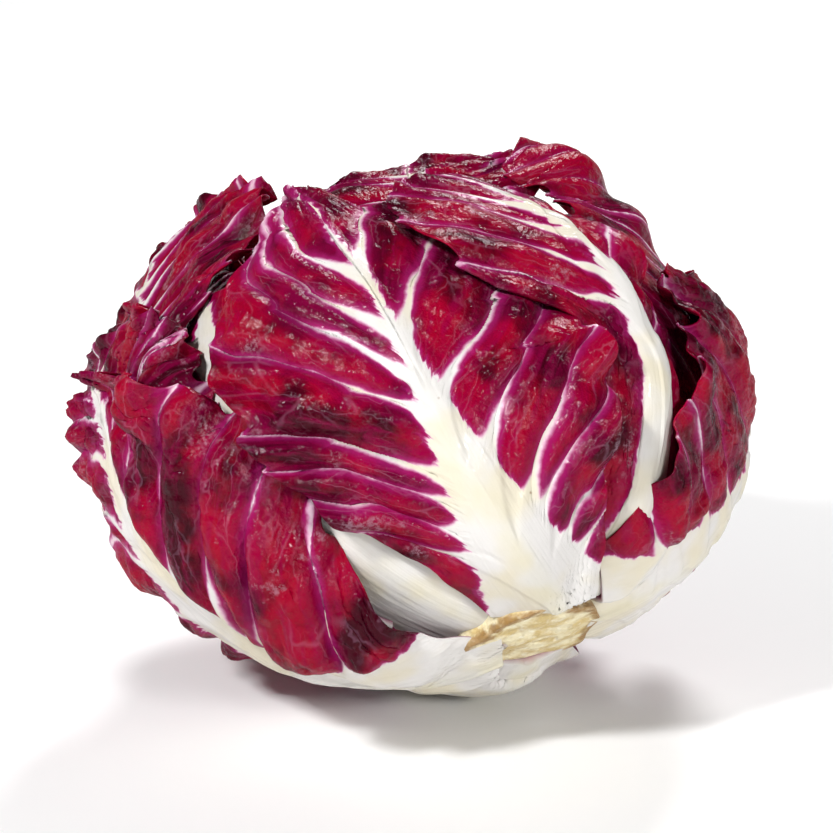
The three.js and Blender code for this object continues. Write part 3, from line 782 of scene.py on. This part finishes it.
DEEP = (0.036, 0.0003, 0.005)
CRIMSON = (0.26, 0.0003, 0.016)
MAGENTA = (0.21, 0.0008, 0.042)
VIOLET = (0.31, 0.014, 0.130)
PINK = (0.60, 0.30, 0.46)
CREAM = (0.64, 0.59, 0.47)
WHITE = (0.65, 0.63, 0.61)
STRAW = (0.58, 0.55, 0.35)
# The pale grey of the bloom, which also serves as a painted sheen: a painted reflection of soft light on the
# blade.
BLOOM_AND_SHEEN = (0.42, 0.27, 0.34)
INNER_RED = (0.40, 0.0015, 0.030)
BROWN = (0.20, 0.09, 0.02)
STEM_CREAM = (0.78, 0.70, 0.47)
STEM_TAN = (0.58, 0.44, 0.19)
STEM_PALE = (0.86, 0.82, 0.68)
STEM_EDGE = (0.27, 0.14, 0.035)


def leaf_material():
    """Crimson blade, violet beside the veins, white veins and cream ribs, with pale bloom and a painted sheen
    (a painted greyish reflection of soft light) in patches.
    """
    s = Shader("leaf")
    inside, far, up, across = (s.attribute(name) for name in ("inside", "far", "up", "across"))
    gap_place = s.attribute("gap_place")

    # White: the midrib's edge is drawn out in streaks, and the laterals' edges are only a little uneven.
    drift = s.math("MULTIPLY", s.noise(7.0, 2), 1.5)
    outward = s.math("ADD", s.math("MULTIPLY", far, 4.0), drift)
    flow = s.combine(s.math("MULTIPLY", gap_place, 8.0), outward, drift)
    streak = s.noise(1.0, 4, flow)
    uneven = s.math("SUBTRACT", s.noise(1.6, 4), 0.5)
    rib = s.math("ADD", s.attribute("rib"), s.math("MULTIPLY", s.math("SUBTRACT", streak, 0.47), 4.0))
    rib = s.math("ADD", rib, s.math("MULTIPLY", uneven, 1.5))
    vein = s.math("ADD", s.attribute("vein"), s.math("MULTIPLY", uneven, 0.5))
    apart = s.math("SMOOTH_MIN", rib, vein, 0.6)

    # Blade
    broad = s.noise(12, 4)
    blade = s.mix(s.ramp(broad, 0.40, 0.60), DEEP, CRIMSON)
    blade = s.mix(s.math("MULTIPLY", s.ramp(streak, 0.42, 0.7), 0.55), blade, MAGENTA)
    blade = s.mix(s.math("MULTIPLY", s.ramp(apart, 3.5, 0.3), 0.5), blade, MAGENTA)
    blade = s.mix(s.math("MULTIPLY", s.ramp(apart, 1.4, 0.1), 0.65), blade, VIOLET)
    warp = s.math("MULTIPLY", s.noise(3.0, 2), 0.5)
    along_rib = s.math("ADD", s.math("MULTIPLY", gap_place, 3.0), warp)
    net = s.combine(along_rib, s.math("MULTIPLY", far, 2.6), warp)
    fine = s.ramp(s.voronoi_edge(net, 1.0), 0.045, 0.0)
    finer = s.ramp(s.voronoi_edge(net, 2.5), 0.06, 0.0)
    thin = s.math("MAXIMUM", s.math("MULTIPLY", fine, 0.10), s.math("MULTIPLY", finer, 0.03))
    thin = s.math("MULTIPLY", thin, s.ramp(s.noise(9, 2), 0.40, 0.62))
    blade = s.mix(thin, blade, PINK)

    # Ribs
    pale = s.mix(s.ramp(s.noise(11, 2), 0.4, 0.65), WHITE, CREAM)
    centre = s.math("MULTIPLY", s.ramp(s.math("ABSOLUTE", across), 3.5, 0.5), s.ramp(up, 0.6, 0.0))
    pale = s.mix(s.math("MULTIPLY", centre, 0.20), pale, STRAW)
    speck = s.math("MULTIPLY", s.ramp(s.voronoi_spot(s.coordinates, 1 / (11 * MM)), 0.045, 0.02), 0.8)
    pale = s.mix(speck, pale, BROWN)
    ends = s.math("MULTIPLY", s.ramp(far, 0.5, 1.0), s.ramp(up, 0.12, 0.35))
    pale = s.mix(s.math("MULTIPLY", ends, 0.45), pale, PINK)
    flesh = s.mix(s.ramp(apart, 0.15, -0.35), PINK, pale)

    colour = s.mix(s.ramp(apart, 0.35, -0.15), blade, flesh)
    # Pale grey flecks in patches: partly the leaf's own bloom, partly a painted sheen that stands for soft
    # light reflected off the bumpy blade. The same mask also makes the blade rougher.
    patches = s.ramp(s.noise(14, 5, roughness=0.7), 0.58, 0.66)
    grains = s.ramp(s.noise(0.9, 3, roughness=0.7), 0.42, 0.60)
    bloom_and_sheen_mask = s.math("MULTIPLY", s.math("MULTIPLY", patches, grains), s.ramp(apart, 0.0, 1.5))
    colour = s.mix(s.math("MULTIPLY", bloom_and_sheen_mask, 0.35), colour, BLOOM_AND_SHEEN)
    red_inside = s.mix(s.ramp(broad, 0.35, 0.65), DEEP, INNER_RED)
    red_inside = s.mix(s.math("MULTIPLY", s.ramp(apart, 0.1, -0.4), 0.45), red_inside, PINK)
    colour = s.mix(inside, colour, red_inside)

    # Surface
    wrinkle = s.math("ADD", s.noise(2.6, 3), s.math("MULTIPLY", s.noise(0.5, 2), 0.2))
    open_blade = s.math("ADD", s.math("MULTIPLY", s.ramp(apart, -0.5, 1.5), 0.85), 0.15)
    height = s.math("MULTIPLY", wrinkle, open_blade)
    grooves = s.noise(1.0, 2, s.combine(s.math("MULTIPLY", across, 0.7), s.math("MULTIPLY", up, 6.0), 0.0))
    grooves = s.math("MULTIPLY", grooves, s.ramp(rib, 1.0, -1.5))
    height = s.math("ADD", height, s.math("MULTIPLY", grooves, 0.45))
    roughness = s.math("ADD", 0.22, s.math("MULTIPLY", s.ramp(apart, 0.3, -0.6), 0.22))
    roughness = s.math("ADD", roughness, s.math("MULTIPLY", bloom_and_sheen_mask, 0.3))
    return s.finish(colour, roughness, height, 0.7, specular=0.0, coat=0.38)


def stem_material():
    """Moist cream flesh that browns towards the edge of the cut."""
    s = Shader("stem")
    edge = s.attribute("edge")
    colour = s.mix(s.ramp(s.noise(4, 4), 0.38, 0.62), STEM_CREAM, STEM_TAN)
    fibres = s.math("MULTIPLY", s.ramp(s.noise(1.4, 4), 0.55, 0.72), 0.6)
    colour = s.mix(fibres, colour, STEM_PALE)
    browned = s.math("MULTIPLY", s.ramp(s.math("ADD", edge, s.noise(2, 3)), 1.05, 1.5), 0.9)
    colour = s.mix(browned, colour, STEM_EDGE)
    height = s.math("ADD", s.noise(1.6, 4), s.math("MULTIPLY", s.noise(5, 2), 1.5))
    return s.finish(colour, 0.42, height, 0.9, specular=0.3)


# ---------------------------------------------------------------- heart and stem


def make_heart(material):
    """The heart's solid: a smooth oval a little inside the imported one."""
    INSET = 0.005  # a share of the envelope
    rows_up, rows_round = 60, 90
    polar = np.linspace(0.0, 1.0, rows_up + 1)[1:-1, None] * math.pi
    turn = np.arange(rows_round)[None] / rows_round * 2 * math.pi
    level = np.cos(polar) + 0 * turn
    around = np.stack([np.sin(polar) * np.cos(turn), np.sin(polar) * np.sin(turn), level], -1)
    ends = np.array([[0, 0, 1.0], [0, 0, -1.0]])
    units = np.concatenate([around.reshape(-1, 3), ends])
    points = CENTRE + units * ENVELOPE * (HEART_SHARE - INSET)
    rows = rows_up - 1
    n = np.arange(rows * rows_round).reshape(rows, rows_round)
    ahead = np.roll(n, -1, axis=1)
    quads = np.stack([n[:-1], n[1:], ahead[1:], ahead[:-1]], -1).reshape(-1, 4)
    top, bottom = rows * rows_round, rows * rows_round + 1
    caps = [[top, a, b] for a, b in zip(n[0], ahead[0])]
    caps += [[bottom, b, a] for a, b in zip(n[-1], ahead[-1])]
    mesh = bpy.data.meshes.new("heart_leaves")
    mesh.from_pydata([tuple(p) for p in points * MM], [], [tuple(q) for q in quads.tolist() + caps])
    mesh.polygons.foreach_set("use_smooth", np.ones(len(mesh.polygons), bool))
    mesh.materials.append(material)
    piece = bpy.data.objects.new("heart_leaves", mesh)
    bpy.context.scene.collection.objects.link(piece)
    finish_piece(piece, "heart")


def make_stem(material):
    """The core's stub, uneven round its side, with a slanting cut face that shows the knife's drag."""
    RADIUS = 13.5
    PROUD = -3.2  # the cut's lift over the envelope
    SLOPE = -0.28  # how steeply the cut slants
    CUT_FROM = 0.62  # the share of the rings that are the side. The rest are the cut face.
    FOOT = 0.7  # the share of the radius that it starts with, inside the head
    sides, rings = 120, 60
    angle = np.arange(sides) / sides * 2 * math.pi
    share = np.linspace(0, 1, rings)[:, None]
    side = np.clip(share / CUT_FROM, 0, 1)
    face = np.clip((share - CUT_FROM) / (1 - CUT_FROM), 0, 1)
    uneven = 1 + 0.05 * np.sin(2 * angle + 0.6) + 0.035 * np.sin(5 * angle) + 0.03 * np.sin(9 * angle + 1)
    radius = RADIUS * uneven * (FOOT + (1 - FOOT) * smoothstep(0, 0.6, side)) * (1 - face)
    start, end = MEAN_RADIUS * HEART_SHARE + 2, MEAN_RADIUS + PROUD
    across = np.cross(STEM, SKY)
    depth = start + (end - start) * side
    slant = SLOPE * radius * np.cos(angle) * smoothstep(0.6, 1, side)
    points = (
        CENTRE
        + STEM * (depth - slant)[..., None]
        + SKY * (radius * np.cos(angle))[..., None]
        + across * (radius * np.sin(angle))[..., None]
    )
    points += STEM * (0.5 * fractal(points, 5, 5, 3) * smoothstep(0.5, 0.8, share))[..., None]
    n = np.arange(rings * sides).reshape(rings, sides)
    ahead = np.roll(n, -1, axis=1)
    quads = np.stack([n[:-1], ahead[:-1], ahead[1:], n[1:]], -1).reshape(-1, 4)
    edge = (np.exp(-(((share - CUT_FROM) / 0.09) ** 2)) + 0 * angle).ravel()
    piece = make_mesh("stem_stub", points.reshape(-1, 3), quads, {"edge": edge}, material)
    finish_piece(piece, "stem")


# ---------------------------------------------------------------- camera, floor and lights


def aim(item, target):
    item.rotation_euler = (Vector(target) - item.location).to_track_quat("-Z", "Y").to_euler()


def make_camera():
    ELEVATION, DISTANCE = 18, 0.6
    camera = bpy.data.objects.new("camera", bpy.data.cameras.new("camera"))
    camera.data.lens, camera.data.sensor_width = 135, 36
    target = Vector(CENTRE * MM)
    camera.location = target + DISTANCE * Vector((0, -math.cos(ELEVATION * RAD), math.sin(ELEVATION * RAD)))
    aim(camera, target)
    bpy.context.scene.collection.objects.link(camera)
    bpy.context.scene.camera = camera


def rising(tree, value, low, high, at_low, at_high):
    """A smooth step from one number to another as a value rises."""
    node = tree.nodes.new("ShaderNodeMapRange")
    node.interpolation_type = "SMOOTHSTEP"
    tree.links.new(value, node.inputs["Value"])
    for name, number in (("From Min", low), ("From Max", high), ("To Min", at_low), ("To Max", at_high)):
        node.inputs[name].default_value = number
    return node.outputs["Result"]


def make_floor():
    """A pale floor that glows where the lamps no longer reach it, so that it stays pale up to the horizon."""
    HALF = 30
    GLOW, GLOW_FROM, GLOW_FULL = 0.8, 0.7, 1.6  # its strength, and the distances between which it rises
    mesh = bpy.data.meshes.new("floor")
    corners = [(-HALF, -HALF, 0), (HALF, -HALF, 0), (HALF, HALF, 0), (-HALF, HALF, 0)]
    mesh.from_pydata(corners, [], [(0, 1, 2, 3)])
    floor = bpy.data.objects.new("floor", mesh)
    bpy.context.scene.collection.objects.link(floor)
    material = bpy.data.materials.new("floor")
    material.use_nodes = True
    tree = material.node_tree
    surface = tree.nodes["Principled BSDF"]
    surface.inputs["Base Color"].default_value = (0.94, 0.94, 0.94, 1)
    surface.inputs["Roughness"].default_value = 0.8
    surface.inputs["Emission Color"].default_value = (1, 1, 1, 1)
    away = tree.nodes.new("ShaderNodeVectorMath")
    away.operation = "LENGTH"
    tree.links.new(tree.nodes.new("ShaderNodeTexCoord").outputs["Object"], away.inputs[0])
    glow = rising(tree, away.outputs["Value"], GLOW_FROM, GLOW_FULL, 0, GLOW)
    tree.links.new(glow, surface.inputs["Emission Strength"])
    mesh.materials.append(material)


def make_surround():
    """A dim surround with a pale band just above the horizon."""
    BAND, ABOVE = 0.85, 0.10  # strengths
    FADE_FROM, FADE_TO = 0.10, 0.22  # sines of the elevation
    world = bpy.data.worlds.new("surround")
    world.use_nodes = True
    tree = world.node_tree
    background = tree.nodes["Background"]
    background.inputs["Color"].default_value = (1, 1, 1, 1)
    split = tree.nodes.new("ShaderNodeSeparateXYZ")
    tree.links.new(tree.nodes.new("ShaderNodeTexCoord").outputs["Generated"], split.inputs[0])
    strength = rising(tree, split.outputs["Z"], FADE_FROM, FADE_TO, BAND, ABOVE)
    tree.links.new(strength, background.inputs["Strength"])
    bpy.context.scene.world = world


def make_stage():
    """The floor, the surround and soft boxes round the head."""
    make_floor()
    make_surround()
    bpy.context.scene.view_settings.view_transform = "Standard"
    target = Vector(CENTRE * MM)
    for name, place_at, size, power in (
        ("key", (-0.55, -0.6, 0.75), 0.12, 10.5),
        ("fill", (0.55, -0.85, 0.45), 0.14, 4.8),
        ("back", (0.2, 0.7, 0.8), 0.3, 9),
    ):
        light = bpy.data.objects.new(name, bpy.data.lights.new(name, "AREA"))
        light.data.size, light.data.energy = size, power
        light.location = Vector(place_at)
        aim(light, target)
        bpy.context.scene.collection.objects.link(light)


# ---------------------------------------------------------------- build


def main():
    make_camera()
    make_stage()
    leaf_look, stem_look = leaf_material(), stem_material()
    make_heart(leaf_look)
    pile = Pile((HEART_SHARE - 1) * MEAN_RADIUS)
    for leaf in LEAVES:
        surface = leaf_surface(leaf, pile)
        outer = faces_of(surface)[1]
        if leaf["name"] == FOLDED:
            folded = leaf, surface
            pile.add(outer, (surface.along < FOLD_STARTS) | (surface.across > FOLD_LEFT_OF))
        else:
            pile.add(outer)
            make_leaf(leaf, surface, leaf_look)
    leaf, surface = folded
    raise_fold(surface, pile)
    make_leaf(leaf, surface, leaf_look)
    make_stem(stem_look)


main()
